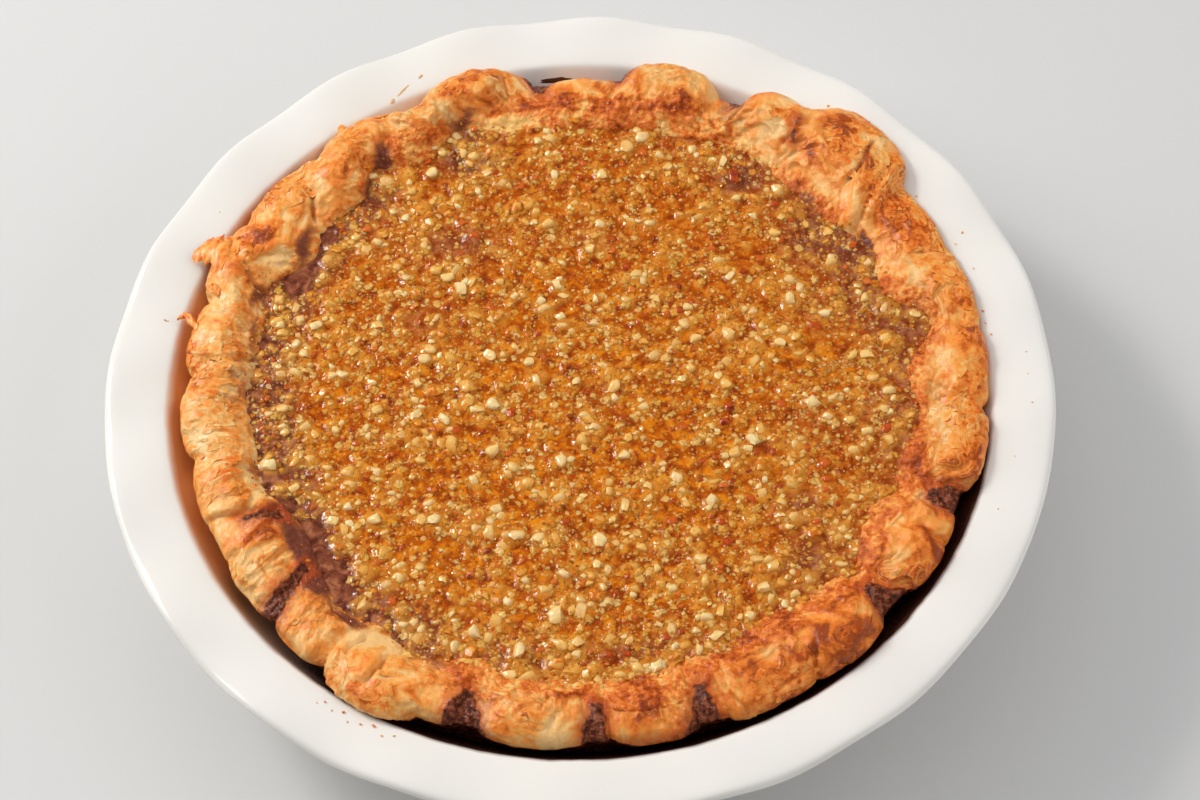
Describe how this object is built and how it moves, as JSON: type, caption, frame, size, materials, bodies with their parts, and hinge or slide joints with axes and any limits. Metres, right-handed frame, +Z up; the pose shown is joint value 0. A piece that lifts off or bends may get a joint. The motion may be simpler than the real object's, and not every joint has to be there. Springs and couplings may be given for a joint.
{
  "type": "pecan pie in a pie dish",
  "caption": "Deep baked pie with a crimped flaky crust and a glossy chopped pecan filling, in its own round white dish with a wavy rim.",
  "frame": {"origin": "centre of the dish's foot, on the surface that it stands on", "axes": "+Z up; -Y is the front of the pie as served; the largest crimp of the crust is at the back right, towards +X +Y"},
  "size_m": [0.268, 0.268, 0.0538],
  "materials": {
    "glazed_dish": "white glaze, glossy",
    "baked_pastry": "golden brown baked pastry, flaky and dry",
    "pecan_filling": "amber syrup custard full of chopped pecans, glossy"
  },
  "bodies": {
    "root": {"dish": "glazed_dish", "crust": "baked_pastry", "filling": "pecan_filling"}
  },
  "joints": []
}
